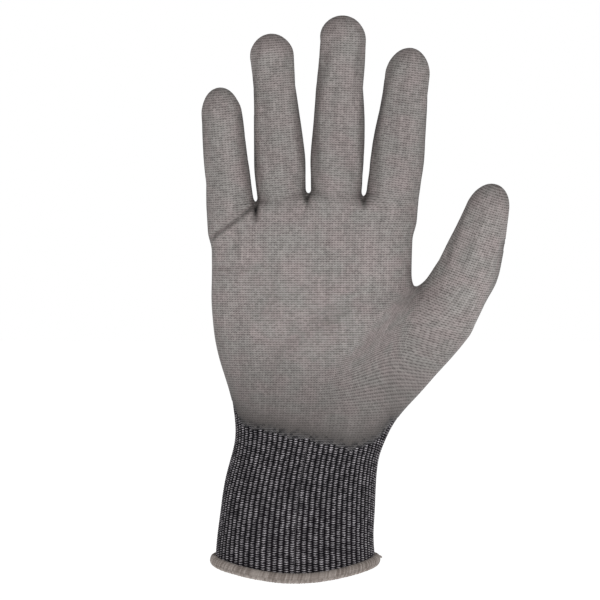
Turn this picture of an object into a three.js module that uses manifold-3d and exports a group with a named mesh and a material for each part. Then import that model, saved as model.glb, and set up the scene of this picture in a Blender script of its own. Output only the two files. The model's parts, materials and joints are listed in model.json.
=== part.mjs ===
// A knitted work glove for the right hand with a dip-coated palm, in the round shape that it
// has on a hand: a seamless knit (cuff, wrist, palm and five stalls), a thin coating film on
// its palm side and round its fingertips, and an overlocked thread hem.
// Millimetres. +Z runs from the hem to the fingertips, the palm faces -Y, the thumb is at +X,
// and the origin is the centre of the hand opening, level with the lowest point of the hem.
// Each joint of the hand splits the glove into sections. A fold, the stretch of fabric that
// creases as the joint bends, fills the space between two sections.

import * as THREE from "three";
import { ParametricGeometry } from "three/addons/geometries/ParametricGeometry.js";
import { mergeVertices } from "three/addons/utils/BufferGeometryUtils.js";
import Module from "manifold-3d";

const wasm = await Module();
wasm.setup();

// Layers, as depths below the glove's outer surface.
const FILM_OUT = 0;
const FILM_IN = 0.4;
const KNIT_OUT = 0.7;
const KNIT_IN = 1.9;
const GAP = 0.3;

// How finely the sections are cut into flats.
const LIMB_SIDES = 12;
const PALM_SIDES = 36;
const CAP_RINGS = 3;

// Joints: how far each bends (degrees), the half-width of a fold on the back of the hand, and
// how far its axis lies from the middle of the section towards the palm, as a share of depth.
const BEND = { root: 65, middle: 85, tip: 51, thumbRoot: 35, thumbTip: 50, wristIn: 45, wristOut: 30 };
const FOLD_HALF = 1;
const WRIST_FOLD_HALF = 1.5;
const AXIS_SHARE = 0.4;
const AXIS_FOLLOWS_SPLAY = 0.4;
const REACH = 130;

// Fingers: x and z of the middle of the stall at its root and at its tip, the full width at
// the root and near the tip, and the full depth at the root and near the tip.
const FINGERS = {
  little_finger: { root: [-28.5, 167.8], tip: [-33, 218.2], width: [19.8, 16.6], depth: [17.6, 14.6] },
  ring_finger: { root: [-5.8, 171.4], tip: [-10.9, 241.6], width: [20.8, 18.2], depth: [18.6, 15.8] },
  middle_finger: { root: [17.8, 172.7], tip: [21, 250], width: [22, 19.4], depth: [19.4, 16.6] },
  index_finger: { root: [42.8, 172.3], tip: [50.8, 235.4], width: [22.6, 18.4], depth: [19.4, 16.4] },
};
const ROOT_JOINT = 6;
const MIDDLE_JOINT_SHARE = 0.37;
const TIP_JOINT_SHARE = 0.69;
const FINGER_LEAN = 3;
const FINGER_BOW = 3;
const FINGER_BELOW_ROOT = 16;
const CAP_SHARE = 1.25;

// Thumb: the middle of the stall at its root and tip, its sizes, and the way that it bends.
const THUMB = {
  root: new THREE.Vector3(71.4, -4, 126),
  tip: new THREE.Vector3(88.6, -12, 175),
  width: [26.4, 19.6],
  depth: [24, 17],
  bends: new THREE.Vector3(-0.35, -0.94, 0),
};
const THUMB_TIP_JOINT_SHARE = 0.5;
const THUMB_BELOW_ROOT = 24;

// Ball of the thumb: a limb that runs from the wrist into the root of the thumb's stall.
const BALL = {
  root: new THREE.Vector3(8.5, -3, 64),
  tip: new THREE.Vector3(74.5, -5.5, 130),
  width: [40, 30],
  depth: [36, 27],
};

// Palm, cuff and wrist: height, left and right edge, and full depth of each level.
const HAND_LEVELS = [
  { z: 0, left: -34.6, right: 35.4, depth: 50 },
  { z: 19, left: -34.2, right: 34.6, depth: 48 },
  { z: 37, left: -32.2, right: 35.3, depth: 44 },
  { z: 63, left: -26.1, right: 38.6, depth: 39 },
  { z: 81, left: -28, right: 44, depth: 37 },
  { z: 98, left: -33.6, right: 50, depth: 34 },
  { z: 125, left: -36.8, right: 51.5, depth: 31 },
  { z: 150, left: -37.6, right: 52, depth: 27 },
  { z: 163, left: -37.2, right: 52.6, depth: 23 },
];
const PALM_TOP = { little: 168, index: 172.5 };
const PALM_SQUARENESS = 2.5;
const WRIST = new THREE.Vector3(6.4, 0, 66);

// Hem: heights of the middle of the roll at the palm side, at the sides and at the back, and
// the half-width and half-height of the roll. The cuff's edge stands just above the roll.
const HEM = { front: 2.4, side: 7.6, back: 6, roll: [2.2, 2.4] };
const HEM_SIDES = 10;
const CUFF_RINGS = 4;

const KNIT = new THREE.MeshStandardMaterial({ color: 0x3a393d, roughness: 0.95, metalness: 0 });
const FILM = new THREE.MeshStandardMaterial({ color: 0x8c8783, roughness: 0.6, metalness: 0 });
const FOLD = new THREE.MeshStandardMaterial({ color: 0x7b7773, roughness: 0.7, metalness: 0 });
const THREAD = new THREE.MeshStandardMaterial({ color: 0x8a8178, roughness: 0.85, metalness: 0 });

const glove = new THREE.Group();
const radians = THREE.MathUtils.degToRad;
const lerp = THREE.MathUtils.lerp;

// ---- Solids ----

// A closed three.js geometry as a solid for cutting and joining.
function solidOf(geometry) {
  const bare = geometry.clone();
  bare.deleteAttribute("normal");
  bare.deleteAttribute("uv");
  const merged = mergeVertices(bare, 1e-4);
  const faces = [];
  const index = merged.index.array;
  for (let i = 0; i < index.length; i += 3) {
    const [a, b, c] = [index[i], index[i + 1], index[i + 2]];
    if (a !== b && b !== c && a !== c) faces.push(a, b, c);
  }
  const mesh = new wasm.Mesh({
    numProp: 3,
    vertProperties: merged.attributes.position.array,
    triVerts: new Uint32Array(faces),
  });
  const solid = new wasm.Manifold(mesh);
  if (solid.volume() > 0) return solid;
  for (let i = 0; i < faces.length; i += 3) [faces[i + 1], faces[i + 2]] = [faces[i + 2], faces[i + 1]];
  return new wasm.Manifold(new wasm.Mesh({ numProp: 3, vertProperties: mesh.vertProperties, triVerts: new Uint32Array(faces) }));
}

// The largest body of a solid, as a three.js geometry. A cut can leave a stray crumb.
function geometryOf(solid) {
  const bodies = solid.decompose().sort((a, b) => b.volume() - a.volume());
  const { numProp, numVert, vertProperties, triVerts } = bodies[0].getMesh();
  const positions = new Float32Array(numVert * 3);
  for (let i = 0; i < numVert; i++) {
    positions.set(vertProperties.subarray(i * numProp, i * numProp + 3), i * 3);
  }
  const geometry = new THREE.BufferGeometry();
  geometry.setAttribute("position", new THREE.BufferAttribute(positions, 3));
  geometry.setIndex(new THREE.BufferAttribute(new Uint32Array(triVerts), 1));
  geometry.computeVertexNormals();
  return geometry;
}

function addPart(name, solid, material) {
  const mesh = new THREE.Mesh(geometryOf(solid), material);
  mesh.name = name;
  glove.add(mesh);
}

function union(solids) {
  return solids.reduce((whole, next) => whole.add(next));
}

// ---- Limbs: stalls and the ball of the thumb ----

// A limb's frame: along runs to the tip, palmar is the way that it bends, across is the rest.
function limbFrame(root, tip, bends) {
  const along = tip.clone().sub(root);
  const length = along.length();
  along.normalize();
  const palmar = bends.clone().addScaledVector(along, -bends.dot(along)).normalize();
  const across = new THREE.Vector3().crossVectors(along, palmar);
  return { root, along, palmar, across, length };
}

// The middle of a limb at a height above its root. A bow carries the tip towards the palm.
function middleAt(limb, height) {
  const share = Math.max(0, height / limb.length);
  return limb.root
    .clone()
    .addScaledVector(limb.along, height)
    .addScaledVector(limb.palmar, limb.bow * share * share);
}

function halfSizesAt(limb, height) {
  const share = THREE.MathUtils.clamp(height / limb.length, 0, 1);
  return {
    across: lerp(limb.width[0], limb.width[1], share) / 2,
    deep: lerp(limb.depth[0], limb.depth[1], share) / 2,
  };
}

// The solid of a limb whose surface lies inset below the glove's, with a round tip and, on
// the ball of the thumb, a round lower end.
function limbSolid(limb, inset) {
  const tipCap = (CAP_SHARE * limb.width[1]) / 2 - inset;
  const rootCap = limb.roundRoot ? limb.width[0] / 2 - inset : 0;
  const low = inset * (limb.roundRoot ? 1 : 0) + rootCap - limb.below;
  const high = limb.length - inset - tipCap;
  const rings = [{ height: low - rootCap, share: 0 }];
  for (let i = 1; i < CAP_RINGS && rootCap > 0; i++) {
    const turn = (i / CAP_RINGS) * (Math.PI / 2);
    rings.push({ height: low - rootCap * Math.cos(turn), share: Math.sin(turn) });
  }
  for (const height of [low, (low + high) / 2, high]) rings.push({ height, share: 1 });
  for (let i = 1; i < CAP_RINGS; i++) {
    const turn = (i / CAP_RINGS) * (Math.PI / 2);
    rings.push({ height: high + tipCap * Math.sin(turn), share: Math.cos(turn) });
  }
  rings.push({ height: high + tipCap, share: 0 });
  const rows = rings.length - 1;
  const surface = (u, v, target) => {
    const { height, share } = rings[Math.round(v * rows)];
    const half = halfSizesAt(limb, height);
    const turn = u * 2 * Math.PI;
    target
      .copy(middleAt(limb, height))
      .addScaledVector(limb.across, (half.across - inset) * share * Math.cos(turn))
      .addScaledVector(limb.palmar, (half.deep - inset) * share * Math.sin(turn));
  };
  return solidOf(new ParametricGeometry(surface, LIMB_SIDES, rows));
}

// ---- Joints ----

// A block whose outline, given in (palmar, along) steps from the pivot, runs across the joint.
function blockAcross(joint, outline) {
  const shape = new THREE.Shape(outline.map(([palmar, along]) => new THREE.Vector2(palmar, along)));
  const geometry = new THREE.ExtrudeGeometry(shape, { depth: 2 * REACH, bevelEnabled: false });
  geometry.translate(0, 0, -REACH);
  const basis = new THREE.Matrix4().makeBasis(joint.palmar, joint.along, joint.axis.clone().negate());
  geometry.applyMatrix4(basis.setPosition(joint.pivot));
  return solidOf(geometry);
}

// The far side of a joint: it stands clear of the near side at every angle of the joint.
function farSide(joint, half = joint.half) {
  return blockAcross(joint, [
    [-REACH, half + REACH * Math.tan(radians(joint.bendsBack) / 2)],
    [0, half],
    [REACH, half + REACH * Math.tan(radians(joint.bends) / 2)],
    [REACH, 4 * REACH],
    [-REACH, 4 * REACH],
  ]);
}

function nearSide(joint, half = joint.half) {
  return blockAcross(joint, [
    [REACH, -half - REACH * Math.tan(radians(joint.bends) / 2)],
    [0, -half],
    [-REACH, -half - REACH * Math.tan(radians(joint.bendsBack) / 2)],
    [-REACH, -4 * REACH],
    [REACH, -4 * REACH],
  ]);
}

// A joint's axis lies in the palm's plane. It follows only part of a finger's splay, so that
// bent fingers stay side by side.
function fingerJoint(limb, height, bends) {
  const deep = halfSizesAt(limb, height).deep;
  const splay = Math.atan2(limb.along.x, limb.along.z) * AXIS_FOLLOWS_SPLAY;
  const axis = new THREE.Vector3(Math.cos(splay), 0, -Math.sin(splay));
  const along = limb.along.clone().addScaledVector(axis, -limb.along.dot(axis)).normalize();
  const palmar = new THREE.Vector3().crossVectors(axis, along);
  const pivot = middleAt(limb, height).addScaledVector(palmar, AXIS_SHARE * deep);
  return { axis, along, palmar, pivot, bends, bendsBack: 0, half: FOLD_HALF };
}

function thumbJoint(limb, height, bends) {
  const deep = halfSizesAt(limb, height).deep;
  const pivot = middleAt(limb, height).addScaledVector(limb.palmar, AXIS_SHARE * deep);
  const { across: axis, along, palmar } = limb;
  return { axis, along, palmar, pivot, bends, bendsBack: 0, half: FOLD_HALF };
}

const wristJoint = {
  axis: new THREE.Vector3(1, 0, 0),
  along: new THREE.Vector3(0, 0, 1),
  palmar: new THREE.Vector3(0, -1, 0),
  pivot: WRIST,
  bends: BEND.wristIn,
  bendsBack: BEND.wristOut,
  half: WRIST_FOLD_HALF,
};

// ---- The hand's shape ----

function levelAt(z) {
  const above = HAND_LEVELS.findIndex((level) => level.z >= z);
  if (above <= 0) return above === 0 ? HAND_LEVELS[0] : HAND_LEVELS[HAND_LEVELS.length - 1];
  const [a, b] = [HAND_LEVELS[above - 1], HAND_LEVELS[above]];
  const share = (z - a.z) / (b.z - a.z);
  return {
    left: lerp(a.left, b.left, share),
    right: lerp(a.right, b.right, share),
    depth: lerp(a.depth, b.depth, share),
  };
}

// A point of the hand's round-cornered section at a height, inset below its surface.
function sectionPoint(level, turn, inset) {
  const power = 2 / PALM_SQUARENESS;
  const round = (value) => Math.sign(value) * Math.pow(Math.abs(value), power);
  const middle = (level.left + level.right) / 2;
  const halfWidth = (level.right - level.left) / 2 - inset;
  const halfDepth = level.depth / 2 - inset;
  return new THREE.Vector2(middle + halfWidth * round(Math.cos(turn)), halfDepth * round(Math.sin(turn)));
}

// Palm and wrist as one solid, closed by a rounded top that slopes down to the little finger.
function palmSolid(inset) {
  const last = HAND_LEVELS.length - 1;
  const rows = [{ level: HAND_LEVELS[2], share: 0, rise: 0 }];
  for (const level of HAND_LEVELS.slice(2)) rows.push({ level, share: 1, rise: 0 });
  rows.push({ level: HAND_LEVELS[last], share: 0.6, rise: 0.8 });
  rows.push({ level: HAND_LEVELS[last], share: 0, rise: 1 });
  const surface = (u, v, target) => {
    const { level, share, rise } = rows[Math.round(v * (rows.length - 1))];
    const turn = u * 2 * Math.PI;
    const point = sectionPoint(level, turn, inset);
    const middle = (level.left + level.right) / 2;
    const x = middle + (point.x - middle) * (share === 0 ? 0 : lerp(1, share, 0.3));
    const across = THREE.MathUtils.clamp((x - level.left) / (level.right - level.left), 0, 1);
    const top = lerp(PALM_TOP.little, PALM_TOP.index, across) - inset;
    target.set(x, point.y * share, level.z + (top - level.z) * rise);
  };
  return solidOf(new ParametricGeometry(surface, PALM_SIDES, rows.length - 1));
}

// ---- Fingers and thumb ----

const limbs = {};
for (const [name, finger] of Object.entries(FINGERS)) {
  const root = new THREE.Vector3(finger.root[0], 0, finger.root[1]);
  const rise = finger.tip[1] - finger.root[1];
  const tip = new THREE.Vector3(finger.tip[0], -rise * Math.tan(radians(FINGER_LEAN)), finger.tip[1]);
  const frame = limbFrame(root, tip, new THREE.Vector3(0, -1, 0));
  const limb = { ...frame, width: finger.width, depth: finger.depth, bow: FINGER_BOW, below: FINGER_BELOW_ROOT };
  limb.joints = [
    fingerJoint(limb, ROOT_JOINT, BEND.root),
    fingerJoint(limb, MIDDLE_JOINT_SHARE * limb.length, BEND.middle),
    fingerJoint(limb, TIP_JOINT_SHARE * limb.length, BEND.tip),
  ];
  limb.sections = ["base", "mid", "tip"];
  limbs[name] = limb;
}
const thumb = {
  ...limbFrame(THUMB.root, THUMB.tip, THUMB.bends),
  width: THUMB.width,
  depth: THUMB.depth,
  bow: 0,
  below: THUMB_BELOW_ROOT,
  roundRoot: true,
};
thumb.joints = [
  thumbJoint(thumb, 0, BEND.thumbRoot),
  thumbJoint(thumb, THUMB_TIP_JOINT_SHARE * thumb.length, BEND.thumbTip),
];
thumb.sections = ["base", "tip"];
limbs.thumb = thumb;
const ball = {
  ...limbFrame(BALL.root, BALL.tip, THUMB.bends),
  width: BALL.width,
  depth: BALL.depth,
  bow: 0,
  below: 0,
  roundRoot: true,
};

// The half of a limb that the film covers: the palm side and a little way round to the back.
function palmSideOf(limb) {
  const past = 0.25 * limb.depth[1] * 0.5;
  const joint = { palmar: limb.palmar, along: limb.along, axis: limb.across, pivot: limb.root };
  const outline = [[-past, -REACH], [REACH, -REACH], [REACH, 4 * REACH], [-past, 4 * REACH]];
  return blockAcross(joint, outline);
}

for (const [name, limb] of Object.entries(limbs)) {
  const layers = [FILM_OUT, FILM_IN, KNIT_OUT, KNIT_IN];
  const solids = name === "thumb" ? [limb, ball] : [limb];
  const shapes = layers.map((inset) => union(solids.map((solid) => limbSolid(solid, inset))));
  const film = shapes[0].subtract(shapes[1]);
  const knit = shapes[2].subtract(shapes[3]);
  const whole = shapes[0].subtract(shapes[3]);
  limb.shapes = shapes;
  limb.joints.forEach((joint, i) => {
    const next = limb.joints[i + 1];
    const section = next ? farSide(joint).intersect(nearSide(next)) : farSide(joint);
    const covered = next ? section.intersect(palmSideOf(limb)) : section;
    const label = `${name}_${limb.sections[i]}`;
    addPart(`${label}_knit`, knit.intersect(section), KNIT);
    addPart(`${label}_coating`, film.intersect(covered), FILM);
    const inner = joint.half - GAP;
    const fold = whole.subtract(farSide(joint, inner)).subtract(nearSide(joint, inner));
    addPart(`${label}_fold`, fold, FOLD);
  });
}

// ---- Palm, wrist and cuff ----

// The palm's shape at one layer, with the stubs of the stalls up to their first joints.
function palmWithStubs(layer, inset) {
  const stubs = Object.values(limbs).map((limb) => limb.shapes[layer].intersect(nearSide(limb.joints[0])));
  return union([palmSolid(inset), ...stubs]);
}

const hollow = union([palmSolid(KNIT_IN), ...Object.values(limbs).map((limb) => limb.shapes[3])]);
const palmSide = blockAcross({ ...wristJoint, pivot: new THREE.Vector3(0, 0, 0) }, [
  [-2, 0],
  [REACH, 0],
  [REACH, 4 * REACH],
  [-2, 4 * REACH],
]);
const handSide = farSide(wristJoint);
const palmKnit = palmWithStubs(2, KNIT_OUT).subtract(hollow).intersect(handSide);
const palmFilm = palmWithStubs(0, FILM_OUT).subtract(palmWithStubs(1, FILM_IN));
const stallsInside = union(Object.values(limbs).map((limb) => limb.shapes[1]));
addPart("palm_knit", palmKnit, KNIT);
addPart("palm_coating", palmFilm.subtract(stallsInside).intersect(handSide).intersect(palmSide), FILM);

// The height of the middle of the hem's roll, all the way round. A turn of 0 is the thumb
// side, a quarter turn the back, and three quarters the palm side.
function hemHeight(turn) {
  const end = Math.sin(turn) > 0 ? HEM.back : HEM.front;
  return lerp(end, HEM.side, Math.cos(turn) ** 2);
}

// Cuff: outside wall up, then inside wall down, as one closed ring.
function cuffSurface(outer, inner, topOf) {
  const rows = 2 * CUFF_RINGS + 2;
  return (u, v, target) => {
    const turn = u * 2 * Math.PI;
    const row = Math.round(v * rows) % rows;
    const outside = row <= CUFF_RINGS;
    const share = (outside ? row : rows - 1 - row) / CUFF_RINGS;
    const edge = hemHeight(turn) + HEM.roll[1] + GAP;
    const z = lerp(edge, topOf, share);
    const point = sectionPoint(levelAt(z), turn, outside ? outer : inner);
    target.set(point.x, point.y, z);
  };
}

const CUFF_TOP = WRIST.z + 14;
const cuffWalls = new ParametricGeometry(cuffSurface(FILM_IN, KNIT_IN, CUFF_TOP), PALM_SIDES, 2 * CUFF_RINGS + 2);
addPart("cuff_knit", solidOf(cuffWalls).intersect(nearSide(wristJoint)), KNIT);

const wristInner = wristJoint.half - GAP;
const wristTube = palmSolid(FILM_IN).add(limbSolid(ball, FILM_IN)).subtract(hollow);
const wristFold = wristTube.subtract(farSide(wristJoint, wristInner)).subtract(nearSide(wristJoint, wristInner));
addPart("wrist_knit", wristFold, KNIT);

// ---- Hem ----

// The roll follows the middle of the cuff's wall. Its section stays upright all the way round.
const rollSurface = (u, v, target) => {
  const turn = v * 2 * Math.PI;
  const z = hemHeight(turn);
  const middle = sectionPoint(levelAt(z), turn, (FILM_IN + KNIT_IN) / 2);
  const out = new THREE.Vector2(Math.cos(turn), Math.sin(turn));
  const corner = u * 2 * Math.PI;
  middle.addScaledVector(out, HEM.roll[0] * Math.cos(corner));
  target.set(middle.x, middle.y, z + HEM.roll[1] * Math.sin(corner));
};
addPart("hem_overlock", solidOf(new ParametricGeometry(rollSurface, HEM_SIDES, PALM_SIDES)), THREAD);

export default glove;
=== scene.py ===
"""Visual model of a knitted work glove for the right hand, with a dip-coated palm.

Lengths are in millimetres until a mesh is made, and then in metres. +Z runs to the
fingertips, the palm faces -Y and the thumb is at +X. The hand's shape is one distance
field. Its surface is cut into pieces at the joints of the hand: a knit shell all over and
a thin coating film over the palm side. The cuff is a ribbed tube with an overlocked hem.
"""
import json
import math

import bpy
import numpy as np
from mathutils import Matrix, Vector


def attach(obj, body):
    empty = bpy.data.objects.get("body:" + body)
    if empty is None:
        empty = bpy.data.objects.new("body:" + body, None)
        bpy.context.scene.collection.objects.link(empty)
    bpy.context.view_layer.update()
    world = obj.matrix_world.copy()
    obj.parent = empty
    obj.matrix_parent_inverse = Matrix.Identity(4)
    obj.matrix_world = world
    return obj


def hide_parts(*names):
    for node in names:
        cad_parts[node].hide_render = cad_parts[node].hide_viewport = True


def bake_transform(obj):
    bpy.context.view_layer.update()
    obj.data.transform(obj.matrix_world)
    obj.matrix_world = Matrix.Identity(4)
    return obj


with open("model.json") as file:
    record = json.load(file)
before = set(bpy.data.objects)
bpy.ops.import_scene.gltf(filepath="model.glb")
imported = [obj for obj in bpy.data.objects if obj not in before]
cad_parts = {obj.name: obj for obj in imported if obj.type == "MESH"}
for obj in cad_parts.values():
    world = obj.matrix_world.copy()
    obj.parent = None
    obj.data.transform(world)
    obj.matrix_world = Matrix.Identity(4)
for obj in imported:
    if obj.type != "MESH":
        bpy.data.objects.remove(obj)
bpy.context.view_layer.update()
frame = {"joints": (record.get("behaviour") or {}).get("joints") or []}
MM = 0.001
JOINTS = {joint["name"]: joint for joint in frame["joints"]}

# ---------------------------------------------------------------- hand shape

# Each finger's stall: the middle of its root and of its tip (x, z), its widths at the shares
# of its length in WIDTH_AT, and how long its round end is.
WIDTH_AT = [0.0, 0.33, 0.6, 0.85]
FINGERS = {
    "little_finger": dict(
        root=(-29.1, 167.8), tip=(-33.4, 218.4), widths=(20.6, 18.6, 17.6, 16.2), cap=10.5
    ),
    "ring_finger": dict(
        root=(-5.8, 171.4), tip=(-10.9, 242.4), widths=(21.0, 20.9, 18.6, 18.1), cap=10.2
    ),
    "middle_finger": dict(
        root=(18.1, 172.7), tip=(21.6, 250.2), widths=(21.8, 22.0, 20.0, 19.4), cap=10.2
    ),
    "index_finger": dict(
        root=(43.7, 172.3), tip=(51.3, 236.0), widths=(22.8, 22.0, 19.8, 18.4), cap=12.0
    ),
}
# Depth for width, at a stall's root and near its tip.
DEPTH_SHARE = (0.9, 0.88)

# Joints: the root joint's height above the root, and the others as shares of the length.
ROOT_JOINT = 6.0
MIDDLE_JOINT_SHARE = 0.37
TIP_JOINT_SHARE = 0.69

# Fingers lean towards the palm in degrees, bow at their tips, and run down inside the palm.
FINGER_LEAN = 3.0
FINGER_BOW = 3.0
FINGER_BELOW_ROOT = 22.0

# Thumb, and the ball that joins it to the wrist. THUMB_CURVE shifts the thumb's root
# sideways, and the shift dies out within a reach up the thumb: (shift, reach).
THUMB = dict(
    root=(73.2, -4.0, 126.0), tip=(88.6, -12.0, 175.4), widths=(27.0, 25.6, 21.0, 18.4), cap=12.5
)
THUMB_BENDS = (-0.35, -0.94, 0.0)
THUMB_BELOW_ROOT = 14.0
THUMB_CURVE = (4.0, 18.0)
THUMB_TIP_JOINT_SHARE = 0.5
BALL = dict(
    root=(10.0, -3.0, 62.5), tip=(76.6, -5.5, 129.1), widths=(36.0, 35.0, 33.0, 29.4), cap=15.0
)
BALL_DEPTH_SHARE = (0.9, 0.84)

# How softly shapes join. The thumb's join is sharp in its crotch and soft on its outer side:
# two places along x, and the softness at each.
BALL_SOFTNESS = 9.0
FINGER_SOFTNESS = 3.0
PALM_TOP_SOFTNESS = 5.0
THUMB_SOFTNESS = ((66.0, 80.0), (3.5, 9.0))

# Palm, wrist and cuff: height, left edge, right edge and depth of each level.
HAND_LEVELS = np.array([
    (-6.0, -35.6, 35.6, 50.5),
    (10.0, -35.3, 35.3, 49.0),
    (19.0, -34.5, 34.6, 48.0),
    (37.0, -32.4, 35.4, 44.0),
    (46.0, -30.6, 36.0, 42.0),
    (54.0, -28.4, 37.0, 40.5),
    (63.0, -26.3, 38.8, 39.0),
    (72.0, -26.4, 41.0, 38.0),
    (81.0, -27.8, 44.0, 37.0),
    (90.0, -30.6, 47.5, 35.6),
    (98.0, -33.4, 50.0, 34.0),
    (107.0, -35.4, 51.2, 33.0),
    (125.0, -36.9, 51.6, 31.0),
    (150.0, -36.7, 51.8, 27.0),
    (163.0, -36.4, 52.4, 23.5),
    (185.0, -37.6, 53.0, 20.0),
])
LEVEL_SPAN = (-30.0, 215.0)
LEVEL_STEP = 0.5
LEVEL_SMOOTHING = 9.0
PALM_SQUARENESS = 2.5

# Height of the palm's top edge, at places along x.
PALM_TOP = ((-38.0, -17.0, 5.0, 30.0, 52.0), (165.5, 167.2, 171.5, 169.8, 170.0))

# Creases: two ends (x, z) on the palm side, depth and half-width. They are shallower at
# their ends, by CREASE_END, and deepen over the first CREASE_RISE of the palm side.
CREASES = [
    ((-39.5, 150.6), (-31.0, 156.5), 1.7, 1.1),
    ((-33.0, 155.0), (-22.5, 162.5), 1.6, 1.0),
    ((-25.0, 161.0), (-15.5, 168.0), 1.5, 1.1),
    ((-17.5, 160.0), (-17.3, 171.0), 3.2, 1.3),
    ((5.2, 167.0), (5.2, 176.0), 2.8, 1.3),
    ((30.2, 166.0), (30.4, 174.0), 2.6, 1.4),
    ((-38.0, 138.5), (-14.0, 140.0), 0.5, 1.5),
    ((49.5, 141.0), (56.5, 127.0), 0.9, 1.6),
    ((57.0, 128.0), (22.0, 123.0), 0.6, 4.0),
    ((24.0, 123.0), (6.0, 113.0), 0.7, 4.5),
    ((8.0, 114.0), (-20.0, 92.0), 0.8, 5.0),
    ((-10.0, 128.0), (-34.0, 108.0), 0.5, 6.0),
]
CREASE_END = 0.12
CREASE_RISE = 5.0

# Flutes: soft ridges along the stalls. They wander from side to side, and rise above the root.
FLUTE_DEPTH = 0.32
FLUTE_PITCH = 8.5
FLUTE_WANDER = 0.6
FLUTE_WANDER_LENGTH = 19.0
FLUTE_RISE = (2.0, 14.0)

# Sway: slow unevenness of the whole surface. Its depth, and its crossing waves' lengths.
SWAY_DEPTH = 0.22
SWAY_LENGTHS = (7.3, 13.1, 8.9, 6.1)
SWAY_PHASE = 1.3

# Film: how far it reaches round to the back, and how it covers a fingertip all round.
FILM_PAST_SIDE = 0.25
PALM_FILM_EDGE_Y = 2.0
STALL_FILM_START = (-10.0, 2.0)
TIP_FILM_ABOVE_JOINT = 3.0
TIP_FILM_RISE = 9.0
TIP_FILM_REACH = 30.0

# The film's end on the wrist: its lowest place (x, z), its slope to the left of that, its
# curve and the reach of the curve to the right, how it rises at the sides and the back, and
# its ragged waves (depth, length, phase).
FILM_WRIST_LOW = (25.0, 58.7)
FILM_WRIST_SLOPE = 0.2
FILM_WRIST_CURVE = 0.036
FILM_WRIST_CURVE_REACH = 17.0
FILM_SIDE_Y = (-13.0, 3.0)
FILM_SIDE_RISE = (16.0, 8.0)
FILM_BACK_Y = (0.0, 8.0)
FILM_BACK_RISE = 40.0
FILM_RAGGED = ((0.35, 2.1, 0.0), (0.25, 0.83, 1.0))
FILM_WRIST_TOP = 125.0

# How full the film is, which its material reads: less near an edge, where the film is thinner and
# its sides also carry painted shade, and less in a crease, which is painted shade.
FILM_FULL = 46.0
FILM_SIDE_FADE_AND_SHADE = 7.0
CREASE_PAINTED_SHADE = 18.0
FILM_AWAY_FROM_WRIST = 60.0

# Knit: where the wales of a stall part from the palm's, where the thumb's begin, and the
# thumb's place in the knit.
KNIT_MIDDLE_X = 7.0
STALL_KNIT_START = (-8.0, 2.0)
THUMB_KNIT_START = (-62.0, -22.0)
THUMB_KNIT_NEARNESS = (-7.0, 9.0)
THUMB_KNIT_PLACE = (64.0, 120.0)

# Layers, in depth from the knit's surface.
KNIT_WALL = 1.2
FILM_OUT = 0.34
FILM_WALL = 0.36

# Pieces of the surface: the net's box and cell, and where sections and their bends begin
# and end. A section of a finger starts SECTION_START below the finger's root.
NET_LOW = (-44.0, -30.0, 56.0)
NET_HIGH = (102.0, 24.0, 256.0)
CELL = 1.25
SECTIONS = ("base", "mid", "tip")
SECTION_JOINTS = ("root", "middle", "end")
SECTION_START = -1.0
FINGERS_ABOVE = 150.0
CUFF_SPLIT = 46.0
PALM_SPLIT = 86.0
ROOT_HALF_ZONE = 6.0
MIDDLE_HALF_ZONE = 8.0
THUMB_START = -7.0
THUMB_ZONE = (-6.0, 14.0)
THUMB_SPLIT = 16.0

# Cuff: ribs and steps round it, rows in each course of stitches, the pitch of stitches, and
# how the tube's top fades and sinks under the film.
RIBS = 76
STEPS_PER_RIB = 6
RING = RIBS * STEPS_PER_RIB
ROWS_PER_COURSE = 4
RIB_RELIEF = 0.34
COURSE_RELIEF = 0.12
COURSE = 1.04
PLAIN_WALE = 1.27
RING_SPACING = 2.0
INNER_ROWS = 12
TUBE_TOP = PALM_SPLIT + 1.5
TUBE_FADE = (TUBE_TOP - 1.0, TUBE_TOP - 12.0)
TUBE_SINK = 0.25

# Hem: heights of its middle, size of its roll (out, up), how far it stands out, and how far
# the cuff's lower edge stands above its middle.
HEM = dict(front=3.2, side=9.0, back=6.5, roll=(2.1, 2.4))
HEM_FLARE = 0.6
CUFF_ABOVE_HEM = 1.0
HEM_WRAPS = 300
WRAP_LEAN = 0.9
WRAP_UNEVEN = 0.06
WRAP_PUFF = 0.02
THREAD_RADIUS = 0.42
STRAND_STEPS = 14
STRAND_SIDES = 5
CORE_SIDES = 12
CORE_STEP = 3
CORE_SINK = 1.5 * THREAD_RADIUS

# The thread's loose end: its share of the way round the hem, where it leaves, and its bends.
TAIL_AT = 0.25
TAIL_START = np.array([0.6, -1.0, 1.2])
TAIL_STEPS = 17
TAIL_SIDES = 8
TAIL_BENDS = np.array([(0, 0, 0), (0.8, -0.3, 0.3), (1.5, -0.3, 0.1), (2.0, -0.2, -0.5)])


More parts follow.
